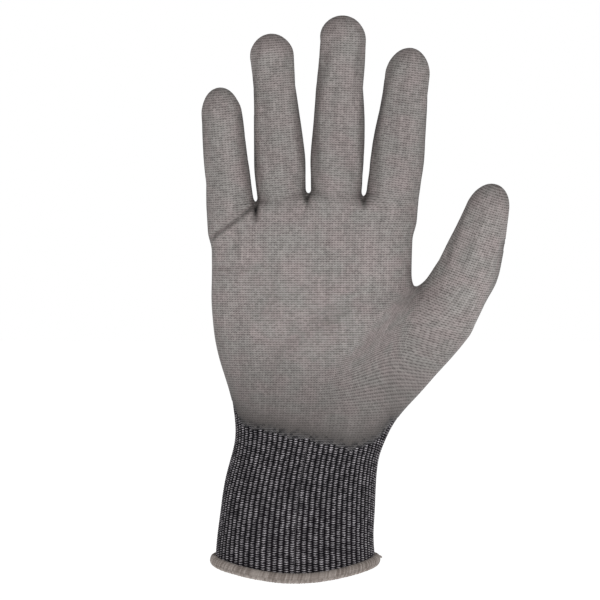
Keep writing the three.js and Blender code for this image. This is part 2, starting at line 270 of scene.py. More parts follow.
class Limb:
    """A round tapered stall: along runs to its tip and palmar is the way it bends."""

    def __init__(
        self, root, tip, widths, cap, bends, depth_share, bow=0.0, below=0.0, curve=(0.0, 1.0)
    ):
        self.root = np.array(root, float)
        run = np.array(tip, float) - self.root
        self.length = np.linalg.norm(run)
        self.along = run / self.length
        palmar = np.array(bends, float)
        palmar -= (palmar @ self.along) * self.along
        self.palmar = palmar / np.linalg.norm(palmar)
        self.across = np.cross(self.along, self.palmar)
        self.half_width = np.polyfit(WIDTH_AT, np.array(widths) / 2, 3)
        self.depth_share = depth_share
        self.cap, self.bow, self.below, self.curve = cap, bow, below, curve
        self.low_cap = widths[0] / 2

    def local(self, p):
        rel = p - self.root
        t = rel @ self.along
        bow = self.bow * np.maximum(t / self.length, 0) ** 2
        shift, reach = self.curve
        shift = shift * np.maximum(1 - np.maximum(t, -self.below) / reach, 0) ** 2
        return rel @ self.across + shift, rel @ self.palmar - bow, t

    def sizes(self, t):
        share = np.clip(t / self.length, 0, 0.9)
        a = np.polyval(self.half_width, share)
        return a, a * np.interp(share, [0, 0.9], self.depth_share)

    def turn(self, p):
        """Distance round the stall from the middle of its palm side, and height along it."""
        x, y, t = self.local(p)
        a, b = self.sizes(t)
        return np.arctan2(x / a, y / b) * (a + b) / 2, t

    def distance(self, p):
        x, y, t = self.local(p)
        a, b = self.sizes(t)
        above = np.maximum(t - (self.length - self.cap), 0) / self.cap
        under = np.minimum(t + self.below - self.low_cap, 0) / self.low_cap
        k0 = np.sqrt((x / a) ** 2 + (y / b) ** 2 + above**2 + under**2) + 1e-6
        k1 = np.sqrt(
            (x / a**2) ** 2
            + (y / b**2) ** 2
            + (above / self.cap) ** 2
            + (under / self.low_cap) ** 2
        )
        return k0 * (k0 - 1) / np.maximum(k1, 1e-6)


def finger_limb(spec):
    rise = spec["tip"][1] - spec["root"][1]
    tip_y = -rise * math.tan(math.radians(FINGER_LEAN))
    return Limb(
        root=(spec["root"][0], 0, spec["root"][1]),
        tip=(spec["tip"][0], tip_y, spec["tip"][1]),
        widths=spec["widths"],
        cap=spec["cap"],
        bends=(0, -1, 0),
        depth_share=DEPTH_SHARE,
        bow=FINGER_BOW,
        below=FINGER_BELOW_ROOT,
    )


limbs = {name: finger_limb(spec) for name, spec in FINGERS.items()}
thumb = Limb(
    **THUMB,
    bends=THUMB_BENDS,
    depth_share=DEPTH_SHARE,
    below=THUMB_BELOW_ROOT,
    curve=THUMB_CURVE,
)
ball = Limb(**BALL, bends=THUMB_BENDS, depth_share=BALL_DEPTH_SHARE)


def smoothed_levels():
    """The hand's levels as smooth columns: left edge, right edge and depth at each height."""
    z = np.arange(*LEVEL_SPAN, LEVEL_STEP)
    reach = int(LEVEL_SMOOTHING / LEVEL_STEP)
    kernel = np.hanning(2 * reach + 1)
    kernel /= kernel.sum()
    columns = []
    for column in HAND_LEVELS.T[1:]:
        raw = np.interp(z, HAND_LEVELS[:, 0], column)
        padded = np.pad(raw, reach, mode="edge")
        columns.append(np.convolve(padded, kernel, mode="valid"))
    return z, columns


LEVEL_Z, LEVEL_COLUMNS = smoothed_levels()


def section(z):
    """Middle x, half-width and half-depth of the hand's section at a height."""
    left, right, depth = (np.interp(z, LEVEL_Z, column) for column in LEVEL_COLUMNS)
    return (left + right) / 2, (right - left) / 2, depth / 2


def smooth_min(a, b, k):
    """The smaller of two distances, rounded where they are within k of each other."""
    h = np.clip(0.5 + 0.5 * (b - a) / k, 0, 1)
    return b * (1 - h) + a * h - k * h * (1 - h)


def smoothstep(x, low, high):
    t = np.clip((x - low) / (high - low), 0, 1)
    return t * t * (3 - 2 * t)


def palm_distance(p):
    x, y, z = p.T
    middle, a, b = section(z)
    n = PALM_SQUARENESS
    qx, qy = np.abs(x - middle) / a, np.abs(y) / b
    k = np.maximum(qx**n + qy**n, 1e-6) ** (1 / n)
    slope = k ** (1 - n) * np.hypot(qx ** (n - 1) / a, qy ** (n - 1) / b)
    side = (k - 1) / np.maximum(slope, 1e-6)
    top = z - np.interp(x, *PALM_TOP)
    return -smooth_min(-side, -top, PALM_TOP_SOFTNESS)


def crease_depth(p):
    x, y, z = p.T
    total = np.zeros(len(p))
    for (x0, z0), (x1, z1), depth, half in CREASES:
        run = np.array([x1 - x0, z1 - z0])
        share = np.clip(((x - x0) * run[0] + (z - z0) * run[1]) / (run @ run), 0, 1)
        off = np.hypot(x - x0 - share * run[0], z - z0 - share * run[1])
        fade = np.sin(math.pi * (CREASE_END + (1 - 2 * CREASE_END) * share))
        total = np.maximum(total, depth * fade * np.exp(-((off / half) ** 2)))
    return total * smoothstep(-y, 0.0, CREASE_RISE)


def flutes(limb, p):
    """Soft ridges that run along a stall and fade out at both of its ends."""
    turn, t = limb.turn(p)
    phase = turn / FLUTE_PITCH + FLUTE_WANDER * np.sin(t / FLUTE_WANDER_LENGTH)
    fade = smoothstep(t, *FLUTE_RISE) * smoothstep(limb.length - t, 1.0, limb.cap)
    return FLUTE_DEPTH * np.cos(2 * math.pi * phase + limb.root[0]) * fade


def sway(p):
    x, y, z = p.T
    across, up, steep, deep = SWAY_LENGTHS
    rises = np.sin(x / across + z / up)
    return SWAY_DEPTH * rises * np.sin(z / steep - y / deep + SWAY_PHASE)


def hand_distance(p):
    """Distance from the knit's outer surface: below zero inside the glove."""
    d = smooth_min(palm_distance(p), ball.distance(p), BALL_SOFTNESS)
    softness = np.interp(p[:, 0], *THUMB_SOFTNESS)
    d = smooth_min(d, thumb.distance(p) + flutes(thumb, p), softness)
    fingers = np.min([limb.distance(p) + flutes(limb, p) for limb in limbs.values()], axis=0)
    d = smooth_min(d, fingers, FINGER_SOFTNESS)
    return d + crease_depth(p) + sway(p)


def gradient(field, p, step=0.25):
    g = np.empty_like(p)
    for axis in range(3):
        ahead, behind = p.copy(), p.copy()
        ahead[:, axis] += step
        behind[:, axis] -= step
        g[:, axis] = field(ahead) - field(behind)
    return g / (2 * step)


def unit(v):
    return v / np.maximum(np.linalg.norm(v, axis=1, keepdims=True), 1e-9)


# ---------------------------------------------------------------- surface net

def surface_net(field, low, high, cell, chunks=12):
    """Quads of the field's zero surface inside a box: one vertex in each cell it crosses."""
    axes = [np.arange(a, b, cell) for a, b in zip(low, high)]
    grid = np.stack(np.meshgrid(*axes, indexing="ij"), axis=-1)
    shape = grid.shape[:3]
    points = grid.reshape(-1, 3)
    values = np.concatenate([field(chunk) for chunk in np.array_split(points, chunks)])
    values = values.reshape(shape)
    inside = values < 0
    cells = tuple(n - 1 for n in shape)
    total, count = np.zeros(cells + (3,)), np.zeros(cells)
    for axis in range(3):
        others = [i for i in range(3) if i != axis]
        for step_a in (0, 1):
            for step_b in (0, 1):
                start = [0, 0, 0]
                start[others[0]], start[others[1]] = step_a, step_b
                near = tuple(slice(s, s + n) for s, n in zip(start, cells))
                start[axis] = 1
                far = tuple(slice(s, s + n) for s, n in zip(start, cells))
                crossed = inside[near] != inside[far]
                gap = np.where(crossed, values[near] - values[far], 1.0)
                share = np.where(crossed, values[near] / gap, 0.0)
                where = grid[near] * crossed[..., None]
                where[..., axis] += share * cell * crossed
                total += where
                count += crossed
    used = count > 0
    number = np.full(cells, -1)
    number[used] = np.arange(used.sum())
    vertices = total[used] / count[used][:, None]
    quads = []
    for axis in range(3):
        a, b = [i for i in range(3) if i != axis]
        inner = [slice(1, -1)] * 3
        inner[axis] = slice(0, -1)
        shifted = list(inner)
        shifted[axis] = slice(1, None)
        here, there = inside[tuple(inner)], inside[tuple(shifted)]
        at = np.argwhere(here != there)
        at[:, a] += 1
        at[:, b] += 1
        leaving = here[here != there]
        corners = []
        for back_a, back_b in ((0, 0), (1, 0), (1, 1), (0, 1)):
            cell_at = at.copy()
            cell_at[:, a] -= back_a
            cell_at[:, b] -= back_b
            corners.append(number[tuple(cell_at.T)])
        found = np.stack(corners, axis=1)
        flip = leaving if axis == 1 else ~leaving
        found[flip] = found[flip][:, ::-1]
        quads.append(found)
    quads = np.concatenate(quads)
    return vertices, quads[(quads >= 0).all(axis=1)]


def settle(vertices, field, rounds=3, most=0.6, least_slope=0.05):
    """Moves vertices onto the surface, and gives the surface's normals there."""
    for _ in range(rounds):
        g = gradient(field, vertices)
        square = np.maximum((g**2).sum(axis=1), least_slope)
        move = -(field(vertices) / square)[:, None] * g
        vertices = vertices + np.clip(move, -most, most)
    return vertices, unit(gradient(field, vertices))


# ---------------------------------------------------------------- knit and film places

def knit_turn(limb, p, from_back):
    """Distance round a stall from the middle of its palm side or of its back, and height."""
    turn, t = limb.turn(p)
    if from_back:
        half = math.pi * sum(limb.sizes(t)) / 2
        turn = -np.where(turn > 0, turn - half, turn + half)
    return turn, t


def ring_angle(p):
    """Turn round the hand's section: 0 at the middle of the palm side, pi at the back."""
    x, y, z = p.T
    middle, a, b = section(z)
    n = PALM_SQUARENESS / 2
    qx, qy = (x - middle) / a, y / b
    return np.arctan2(np.sign(qx) * np.abs(qx) ** n, -np.sign(qy) * np.abs(qy) ** n)


def ring_length(p, angle):
    """Length round the section from the middle of the palm side to an angle."""
    _, a, b = section(p[:, 2])
    shares = np.linspace(0, 1, 40)
    turn = angle[:, None] * shares
    power = 2 / PALM_SQUARENESS
    x = a[:, None] * np.sign(np.sin(turn)) * np.abs(np.sin(turn)) ** power
    y = b[:, None] * np.sign(np.cos(turn)) * np.abs(np.cos(turn)) ** power
    steps = np.hypot(np.diff(x, axis=1), np.diff(y, axis=1)).sum(axis=1)
    return steps * np.sign(angle)


def knit_place(p, from_back):
    """Where a point lies in the knit: across its wales and along its courses."""
    angle = ring_angle(p)
    if from_back:
        whole = ring_length(p, np.full(len(p), math.pi)) * 2
        part = ring_length(p, angle)
        u = np.where(angle > 0, part - whole / 2, part + whole / 2)
    else:
        u = ring_length(p, angle)
    v = p[:, 2].copy()
    nearest = np.argmin([limb.distance(p) for limb in limbs.values()], axis=0)
    for i, limb in enumerate(limbs.values()):
        turn, t = knit_turn(limb, p, from_back)
        side = limb.root[0] - KNIT_MIDDLE_X
        mine = (nearest == i) * smoothstep(t, *STALL_KNIT_START)
        own_u = (-side if from_back else side) + turn
        u = u + mine * (own_u - u)
        v = v + mine * (limb.root[2] + t - v)
    turn, t = knit_turn(thumb, p, from_back)
    others = np.min([limb.distance(p) for limb in limbs.values()] + [palm_distance(p)], axis=0)
    near = others - np.minimum(thumb.distance(p), ball.distance(p))
    mine = smoothstep(near, *THUMB_KNIT_NEARNESS) * smoothstep(t, *THUMB_KNIT_START)
    thumb_u, thumb_v = THUMB_KNIT_PLACE
    own_u = (-thumb_u if from_back else thumb_u) + turn
    u = u + mine * (own_u - u)
    v = v + mine * (thumb_v + t - v)
    return u, v


def film_margin(p):
    """How far inside the film's edge, and inside its end on the wrist, a point lies.

    Below zero there is no film.
    """
    margin = PALM_FILM_EDGE_Y - p[:, 1]
    nearest = np.argmin([limb.distance(p) for limb in limbs.values()], axis=0)
    cases = [(limb, (nearest == i)) for i, limb in enumerate(limbs.values())]
    ball_is_near = palm_distance(p) > np.minimum(thumb.distance(p), ball.distance(p))
    cases.append((thumb, ball_is_near))
    for limb, mine in cases:
        x, y, t = limb.local(p)
        _, b = limb.sizes(t)
        share = THUMB_TIP_JOINT_SHARE if limb is thumb else TIP_JOINT_SHARE
        tip_from = share * limb.length + TIP_FILM_ABOVE_JOINT
        on_tip = smoothstep(t, tip_from, tip_from + TIP_FILM_RISE)
        own = y + FILM_PAST_SIDE * b + TIP_FILM_REACH * on_tip
        weight = mine * smoothstep(t, *STALL_FILM_START)
        margin = margin + weight * (own - margin)
    lowest_x, lowest_z = FILM_WRIST_LOW
    off = p[:, 0] - lowest_x
    right_rise = FILM_WRIST_CURVE * np.minimum(off, FILM_WRIST_CURVE_REACH) ** 2
    rise = np.where(off < 0, -FILM_WRIST_SLOPE * off, right_rise)
    rise = rise + np.where(off < 0, *FILM_SIDE_RISE) * smoothstep(p[:, 1], *FILM_SIDE_Y)
    rise = rise + FILM_BACK_RISE * smoothstep(p[:, 1], *FILM_BACK_Y)
    ragged = sum(deep * np.sin(p[:, 0] / long + phase) for deep, long, phase in FILM_RAGGED)
    wrist = p[:, 2] - (lowest_z + rise + ragged)
    wrist = np.where(p[:, 2] > FILM_WRIST_TOP, FILM_AWAY_FROM_WRIST, wrist)
    return np.minimum(margin, wrist), wrist


# ---------------------------------------------------------------- meshes

def make_mesh(name, vertices, faces, normals, place, material):
    """A mesh object from millimetres. place is across wales, along courses, and how full the film
    is, which carries painted shade.
    """
    mesh = bpy.data.meshes.new(name)
    mesh.from_pydata((vertices * MM).tolist(), [], faces)
    mesh.polygons.foreach_set("use_smooth", [True] * len(mesh.polygons))
    if place is not None:
        attribute = mesh.attributes.new("knit_place", "FLOAT_VECTOR", "POINT")
        attribute.data.foreach_set("vector", place.astype(np.float32).ravel())
    mesh.update()
    if normals is not None:
        mesh.normals_split_custom_set_from_vertices(normals.tolist())
    mesh.materials.append(material)
    piece = bpy.data.objects.new(name, mesh)
    bpy.context.scene.collection.objects.link(piece)
    return piece


def shell(name, vertices, normals, quads, place, outer, wall, material):
    """A closed shell of cloth: an outside, an inside, and a rim along its open edges."""
    used = np.unique(quads)
    renumber = np.full(len(vertices), -1)
    renumber[used] = np.arange(len(used))
    faces = renumber[quads]
    v, n = vertices[used], normals[used]
    count = len(used)
    both = np.concatenate([v + outer * n, v + (outer - wall) * n])
    edges = np.concatenate([faces[:, [i, (i + 1) % 4]] for i in range(4)])
    low_high = np.sort(edges, axis=1)
    key = low_high[:, 0].astype(np.int64) * count + low_high[:, 1]
    _, first, times = np.unique(key, return_index=True, return_counts=True)
    rim = edges[first[times == 1]]
    rim_faces = np.stack([rim[:, 1], rim[:, 0], rim[:, 0] + count, rim[:, 1] + count], axis=1)
    every = np.concatenate([faces, faces[:, ::-1] + count, rim_faces]).tolist()
    all_normals = np.concatenate([n, -n])
    all_place = np.concatenate([place[used], place[used]])
    return make_mesh(name, both, every, all_normals, all_place, material)


# ---------------------------------------------------------------- materials

class Nodes:
    """Short calls for building a material from maths on numbers.

    Bare numbers in the materials below are shares: of a stitch, of a colour or of a wave.
    """

    def __init__(self, name):
        self.material = bpy.data.materials.new(name)
        self.material.use_nodes = True
        self.tree = self.material.node_tree
        self.shader = self.tree.nodes["Principled BSDF"]

    def new(self, kind, **settings):
        node = self.tree.nodes.new(kind)
        for key, value in settings.items():
            setattr(node, key, value)
        return node

    def put(self, socket, value):
        if isinstance(value, bpy.types.NodeSocket):
            self.tree.links.new(value, socket)
        else:
            socket.default_value = value

    def maths(self, operation, *values):
        node = self.new("ShaderNodeMath", operation=operation)
        for socket, value in zip(node.inputs, values):
            self.put(socket, value)
        return node.outputs[0]

    def add(self, a, b):
        return self.maths("ADD", a, b)

    def times(self, a, b):
        return self.maths("MULTIPLY", a, b)

    def wave(self, phase):
        """A smooth wave from 0 to 1 that repeats with each whole number."""
        cosine = self.maths("COSINE", self.times(phase, 2 * math.pi))
        return self.maths("MULTIPLY_ADD", cosine, 0.5, 0.5)

    def spread(self, value, low, high, to_low=0.0, to_high=1.0, smooth=True):
        node = self.new("ShaderNodeMapRange")
        if smooth:
            node.interpolation_type = "SMOOTHSTEP"
        for socket, item in zip(node.inputs, (value, low, high, to_low, to_high)):
            self.put(socket, item)
        return node.outputs[0]

    def noise(self, vector, scale, detail=2.0):
        node = self.new("ShaderNodeTexNoise")
        self.put(node.inputs["Vector"], vector)
        node.inputs["Scale"].default_value = scale
        node.inputs["Detail"].default_value = detail
        return node.outputs["Fac"]

    def stretched(self, vector, scale):
        node = self.new("ShaderNodeVectorMath", operation="MULTIPLY")
        self.put(node.inputs[0], vector)
        node.inputs[1].default_value = scale
        return node.outputs[0]

    def cell_random(self, across, along, salt=0.0):
        joined = self.new("ShaderNodeCombineXYZ")
        self.put(joined.inputs[0], self.maths("FLOOR", across))
        self.put(joined.inputs[1], self.maths("FLOOR", along))
        joined.inputs[2].default_value = salt
        white = self.new("ShaderNodeTexWhiteNoise")
        self.put(white.inputs["Vector"], joined.outputs[0])
        return white.outputs["Value"]

    def mix(self, share, a, b, blend="MIX"):
        node = self.new("ShaderNodeMix", data_type="RGBA", blend_type=blend)
        self.put(node.inputs["Factor"], share)
        for socket, value in ((node.inputs[6], a), (node.inputs[7], b)):
            self.put(socket, value)
        return node.outputs[2]

    def place(self):
        """The whole place, then across the wales, along the courses, and how full the film is,
        which carries painted shade in creases and at the film's sides.
        """
        source = self.new("ShaderNodeAttribute", attribute_name="knit_place")
        parts = self.new("ShaderNodeSeparateXYZ")
        self.put(parts.inputs[0], source.outputs["Vector"])
        return source.outputs["Vector"], *parts.outputs[:3]

    def bump(self, height, distance, strength=1.0):
        node = self.new("ShaderNodeBump")
        node.inputs["Strength"].default_value = strength
        node.inputs["Distance"].default_value = distance * MM
        self.put(node.inputs["Height"], height)
        self.put(self.shader.inputs["Normal"], node.outputs[0])

    def stitch(self, across, along, slant):
        """Height of a plain knit: each stitch is a V, and rows lie one over the other."""
        side = self.maths("ABSOLUTE", self.maths("SUBTRACT", self.maths("FRACT", across), 0.5))
        lifted = self.maths("MULTIPLY_ADD", side, slant, along)
        return self.wave(lifted), side, lifted


def colour(red, green, blue):
    return (red, green, blue, 1.0)


FILM_DARK_AND_PAINTED_SHADE = colour(0.092, 0.081, 0.077)
FILM_CREST = colour(0.402, 0.361, 0.354)
FILM_THIN_AND_SHADE = colour(0.080, 0.072, 0.069)
FILM_TINTS = (colour(0.95, 1.0, 0.98), colour(1.03, 0.99, 0.99))
BARE_DARK_AND_GAP_SHADE = colour(0.008, 0.0075, 0.0095)
BARE_LIGHT = colour(0.26, 0.25, 0.26)
YARN_DARK_AND_GAP_SHADE = colour(0.0034, 0.0029, 0.0044)
YARN_LIGHT = colour(0.70, 0.66, 0.70)
THREAD_DARK = colour(0.18, 0.148, 0.130)
THREAD_LIGHT = colour(0.44, 0.39, 0.36)
CORE_DARK = colour(0.020, 0.017, 0.016)
CORE_LIGHT = colour(0.115, 0.095, 0.082)


def film_material():
    """Grey film over the knit. It is darker where it is thinner, and uncoated yarn shows at its
    edge; painted shade darkens it in creases, at its sides and on the fingers.
    """
    m = Nodes("coated_knit")
    vector, u, v, fullness_and_shade = m.place()
    across = m.times(u, 1 / PLAIN_WALE)
    along = m.times(v, 1 / COURSE)
    row, side, lifted = m.stitch(across, along, 0.5)
    wale = m.spread(side, 0.5, 0.12)
    random = m.cell_random(across, lifted)
    cloud = m.noise(vector, 0.09, 3.0)
    fine = m.noise(vector, 1.1, 3.0)
    # Stitches show through as rows of shallow pits, each a little lighter or darker. The pits'
    # darker colour is painted shade.
    pit_relief_and_shade = m.times(m.spread(row, 0.75, 0.0), m.spread(wale, 0.0, 1.0, 1.0, 0.5))
    height = m.maths("SUBTRACT", 1.0, pit_relief_and_shade)
    light = m.maths("MULTIPLY_ADD", height, 0.62, m.times(random, 0.32))
    light = m.add(light, m.times(m.maths("SUBTRACT", fine, 0.5), 0.55))
    # Painted highlight and shade: lighter and darker streaks along the wales, standing for soft
    # lengthwise folds.
    fold_highlight_and_shade = m.noise(m.stretched(vector, (0.35, 0.025, 0.0)), 1.0, 2.0)
    light = m.add(light, m.times(m.maths("SUBTRACT", fold_highlight_and_shade, 0.5), 0.4))
    base = m.mix(light, FILM_DARK_AND_PAINTED_SHADE, FILM_CREST)
    tint = m.mix(m.spread(cloud, 0.3, 0.7), *FILM_TINTS)
    tinted = m.mix(1.0, base, tint, blend="MULTIPLY")
    # Dark yarn shows where the film thins towards its edges. At the side edges this darkening is
    # also painted shade, in creases it is painted shade only, and the extra darkening up the
    # fingers is painted shade too.
    thin = m.spread(fullness_and_shade, FILM_FULL, 0.0, 0.0, 0.8, smooth=False)
    thin = m.add(thin, m.spread(v, 140.0, 185.0, 0.0, 0.16))
    thin = m.add(thin, m.spread(fullness_and_shade, 13.0, 0.0, 0.0, 0.3))
    shaded = m.mix(thin, tinted, FILM_THIN_AND_SHADE)
    # The film's last few stitches come and go, and leave uncoated heather yarn. Where creases
    # make the film less full, that dark yarn comes through as painted shade, and the heather's
    # darker rows are painted shade between stitches.
    ragged = m.add(fullness_and_shade, m.times(m.maths("SUBTRACT", random, 0.5), 2.4))
    uncoated_and_crease_shade = m.spread(ragged, 5.0, 0.2, 0.0, 0.95)
    heather = m.mix(m.times(m.times(row, random), 0.8), BARE_DARK_AND_GAP_SHADE, BARE_LIGHT)
    m.put(m.shader.inputs["Base Color"], m.mix(uncoated_and_crease_shade, shaded, heather))
    m.put(m.shader.inputs["Roughness"], m.spread(height, 0.0, 1.0, 0.75, 0.56))
    m.shader.inputs["Specular IOR Level"].default_value = 0.25
    m.bump(m.add(height, m.times(fine, 0.4)), 0.16, 0.8)
    return m.material


def knit_material(name, rib):
    """Dark heather yarn. On the ribbed cuff u counts ribs, and elsewhere millimetres."""
    m = Nodes(name)
    vector, u, v, _ = m.place()
    along = m.times(v, 1 / COURSE)
    if rib:
        # Each rib's stitches lie half a course above those of the rib before it.
        along = m.add(along, m.times(m.maths("FLOOR", u), 0.5))
        across = m.times(u, 2.0)
        row, side, lifted = m.stitch(across, along, 0.25)
        rib_side = m.maths("ABSOLUTE", m.maths("SUBTRACT", m.maths("FRACT", u), 0.5))
        column = m.spread(rib_side, 0.42, 0.12, 0.06, 1.0)
        sharpness = 1.7
    else:
        across = m.times(u, 1 / PLAIN_WALE)
        row, side, lifted = m.stitch(across, along, 0.5)
        column = m.spread(side, 0.5, 0.2, 0.25, 1.0)
        sharpness = 2.3
    # Light fibres fleck each stitch, over patches that share a shade.
    random = m.cell_random(across, lifted)
    shade = m.cell_random(m.times(across, 0.5), m.times(lifted, 0.25), 3.0)
    fibre = m.noise(vector, 3.0, 2.0)
    fleck = m.maths("MULTIPLY_ADD", m.maths("POWER", random, 1.5), 0.80, 0.20)
    fleck = m.times(fleck, m.maths("MULTIPLY_ADD", shade, 0.2, 0.8))
    # The flecks and patches are the yarn's own heather; the fall to near black between rows of
    # stitches and between wales, deepest in the rib valleys, is painted shade.
    light = m.times(m.times(m.maths("POWER", row, sharpness), column), fleck)
    light = m.times(light, m.maths("MULTIPLY_ADD", fibre, 0.9, 0.55))
    m.put(m.shader.inputs["Base Color"], m.mix(light, YARN_DARK_AND_GAP_SHADE, YARN_LIGHT))
    m.shader.inputs["Roughness"].default_value = 1.0
    m.shader.inputs["Specular IOR Level"].default_value = 0.04
    m.bump(m.times(row, column), 0.22, 0.8)
    return m.material


def thread_material():
    """Spun taupe thread: u counts turns round the hem, v runs along a strand."""
    m = Nodes("overlock_thread")
    _, u, v, _ = m.place()
    random = m.cell_random(u, m.times(v, 0.12))
    twist = m.wave(m.add(m.times(v, 1 / 0.8), m.times(u, 3.0)))
    light = m.maths("MULTIPLY_ADD", twist, 0.25, m.times(random, 0.75))
    m.put(m.shader.inputs["Base Color"], m.mix(light, THREAD_DARK, THREAD_LIGHT))
    m.shader.inputs["Roughness"].default_value = 0.85
    m.shader.inputs["Specular IOR Level"].default_value = 0.2
    m.shader.inputs["Sheen Weight"].default_value = 0.15
    m.bump(twist, 0.08, 0.6)
    return m.material


def core_material():
    """The dark roll that shows between the turns of the overlock thread."""
    m = Nodes("hem_core")
    coords = m.new("ShaderNodeTexCoord")
    speck = m.noise(coords.outputs["Object"], 900.0, 3.0)
    m.put(m.shader.inputs["Base Color"], m.mix(speck, CORE_DARK, CORE_LIGHT))
    m.put(m.shader.inputs["Roughness"], m.spread(speck, 0.0, 1.0, 0.95, 0.8))
    m.bump(speck, 0.15, 0.8)
    return m.material


coated_knit = film_material()
plain_knit = knit_material("plain_knit", rib=False)
rib_knit = knit_material("rib_knit", rib=True)
overlock_thread = thread_material()
hem_core = core_material()

# ---------------------------------------------------------------- hand surface

net_v, net_q = surface_net(hand_distance, NET_LOW, NET_HIGH, CELL)
net_v, net_n = settle(net_v, hand_distance)
quad_middle = net_v[net_q].mean(axis=1)
margin, wrist_margin = film_margin(net_v)
front_u, front_v = knit_place(net_v, from_back=False)
back_u, back_v = knit_place(net_v, from_back=True)
# Less full towards the wrist end and the side edges, where the film thins; at the side edges this
# is also painted shade on surfaces turning from the light.
film_thickness_and_shade = np.minimum(wrist_margin, margin * FILM_SIDE_FADE_AND_SHADE)
# Painted shade: the film is made less full, and so darker, along creases and folds.
film_thickness_and_shade = np.minimum(film_thickness_and_shade, FILM_FULL - CREASE_PAINTED_SHADE * crease_depth(net_v))
film_place = np.stack([front_u, front_v, film_thickness_and_shade], axis=1)
knit_place_back = np.stack([back_u, back_v, margin], axis=1)


def joint_heights(limb):
    return [ROOT_JOINT, MIDDLE_JOINT_SHARE * limb.length, TIP_JOINT_SHARE * limb.length]


# Each region: its name, the bodies it joins, and where its bend starts and ends. owner gives
# the region of every quad, and -1 where it is part of the palm.
regions = []
owner = np.full(len(quad_middle), -1)
finger_distance = np.array([limb.distance(quad_middle) for limb in limbs.values()])
nearest_finger = finger_distance.argmin(axis=0)
thumb_side = np.minimum(thumb.distance(quad_middle), ball.distance(quad_middle))
nearer_thumb = thumb_side < finger_distance.min(axis=0)


def add_region(name, bodies, joint, along, zone, chosen):
    pivot = np.array(JOINTS[joint]["pos_m"]) / MM
    owner[chosen] = len(regions)
    regions.append(dict(
        name=name,
        bodies=bodies,
        start=pivot + along * zone[0],
        end=pivot + along * zone[1],
    ))


for i, (name, limb) in enumerate(limbs.items()):
    t = limb.local(quad_middle)[2]
    heights = joint_heights(limb)
    between = [(a + b) / 2 for a, b in zip(heights, heights[1:])]
    starts = [SECTION_START] + between
    ends = between + [math.inf]
    parent = "palm"
    for k, part in enumerate(SECTIONS):
        gaps = [abs(heights[k] - h) / 2 for h in heights if h != heights[k]]
        most = ROOT_HALF_ZONE if k == 0 else MIDDLE_HALF_ZONE
        half = min([most] + gaps)
        chosen = (nearest_finger == i) & (t > starts[k]) & (t <= ends[k])
        chosen &= (quad_middle[:, 2] > FINGERS_ABOVE) & ~nearer_thumb
        joint = f"{name}_{SECTION_JOINTS[k]}_joint"
        body = f"{name}_{part}"
        add_region(body, (parent, body), joint, limb.along, (-half, half), chosen)
        parent = body

thumb_t = thumb.local(quad_middle)[2]
on_thumb = (thumb_side < palm_distance(quad_middle)) & (thumb_t > THUMB_START)
on_thumb &= owner < 0
add_region(
    "thumb_base",
    ("palm", "thumb_base"),
    "thumb_root_joint",
    thumb.along,
    THUMB_ZONE,
    on_thumb & (thumb_t <= THUMB_SPLIT),
)
add_region(
    "thumb_tip",
    ("thumb_base", "thumb_tip"),
    "thumb_end_joint",
    thumb.along,
    (-MIDDLE_HALF_ZONE, MIDDLE_HALF_ZONE),
    on_thumb & (thumb_t > THUMB_SPLIT),
)

film_quads = (margin[net_q] > 0).all(axis=1)
above_wrist = quad_middle[:, 2] > PALM_SPLIT


def knit_shell(name, quads):
    return shell(name, net_v, net_n, net_q[quads], knit_place_back, 0, KNIT_WALL, plain_knit)


def film_shell(name, quads):
    return shell(name, net_v, net_n, net_q[quads], film_place, FILM_OUT, FILM_WALL, coated_knit)


def bend_region(piece):
    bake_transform(piece)


for index, region in enumerate(regions):
    mine = owner == index
    label = region["name"]
    knit = knit_shell(f"{label}_knit_tube", mine)
    bend_region(knit)
    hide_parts(f"{label}_knit", f"{label}_fold")
    film = film_shell(f"{label}_film", mine & film_quads)
    bend_region(film)
    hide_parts(f"{label}_coating")

palm_quads = (owner < 0) & above_wrist
palm_knit = knit_shell("palm_knit_shell", palm_quads)
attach(palm_knit, "palm")
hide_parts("palm_knit")
palm_film = film_shell("palm_film", palm_quads & film_quads)
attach(palm_film, "palm")
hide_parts("palm_coating")
wrist_film = film_shell("wrist_film", (owner < 0) & ~above_wrist & film_quads)
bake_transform(wrist_film)
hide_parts("palm_coating")

# ---------------------------------------------------------------- cuff

def hem_height(turn):
    """Height of the middle of the hem. turn is 0 at the middle of the palm side."""
    end = np.where(np.cos(turn) > 0, HEM["front"], HEM["back"])
    return end + (HEM["side"] - end) * np.sin(turn) ** 2


def even_ring(z):
    """Points of the hand's section at one height, evenly spaced from the palm's middle."""
    turn = np.linspace(-math.pi, math.pi, 721)
    middle, a, b = section(np.full(len(turn), z))
    power = 2 / PALM_SQUARENESS
    out = np.stack([
        np.sign(np.sin(turn)) * np.abs(np.sin(turn)) ** power * a,
        -np.sign(np.cos(turn)) * np.abs(np.cos(turn)) ** power * b,
        np.zeros(len(turn)),
    ], axis=1)
    p = out + np.stack([middle, 0 * middle, np.full(len(turn), z)], axis=1)
    away = unit(out)
    for _ in range(8):
        p = p - away * np.clip(hand_distance(p), -3, 3)[:, None]
    length = np.concatenate([[0], np.cumsum(np.linalg.norm(np.diff(p, axis=0), axis=1))])
    front = np.interp(0.0, turn, length)
    wanted = (front + np.arange(RING) / RING * length[-1]) % length[-1]
    return np.stack([np.interp(wanted, length, p[:, i]) for i in range(3)], axis=1)


ring_z = np.arange(-2 * RING_SPACING, TUBE_TOP + 2 * RING_SPACING, RING_SPACING)
rings = np.stack([even_ring(z) for z in ring_z])


